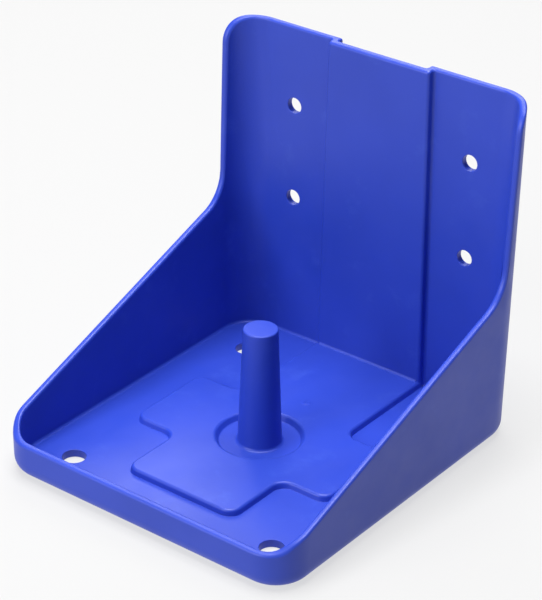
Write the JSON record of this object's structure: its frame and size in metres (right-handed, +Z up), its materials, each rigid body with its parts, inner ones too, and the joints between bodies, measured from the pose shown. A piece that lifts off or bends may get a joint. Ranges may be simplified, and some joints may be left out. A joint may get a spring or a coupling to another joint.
{
  "type": "lick block holder",
  "caption": "Blue wall-mounted holder for a stable lick block: open tray with sloping cheeks, tall back plate with screw holes, and a centre spindle.",
  "frame": {"origin": "middle of the holder's bounding box at the level of its underside", "axes": "+X to the right as seen from the open side, +Y towards the wall that the holder is screwed to, +Z up along the spindle"},
  "size_m": [0.2192, 0.236, 0.2203],
  "materials": {
    "blue_moulding": "satin moulded polyolefin, bright blue"
  },
  "bodies": {
    "root": {"spindle": "blue_moulding", "spindle_dish": "blue_moulding", "rear_left_corner": "blue_moulding", "rear_right_corner": "blue_moulding", "front_left_corner": "blue_moulding", "front_right_corner": "blue_moulding", "back_centre_strip": "blue_moulding", "back_left_wing": "blue_moulding", "back_right_wing": "blue_moulding", "front_lip": "blue_moulding", "left_cheek": "blue_moulding", "right_cheek": "blue_moulding", "block_platform": "blue_moulding", "front_floor": "blue_moulding", "left_floor": "blue_moulding", "right_floor": "blue_moulding"}
  },
  "joints": []
}
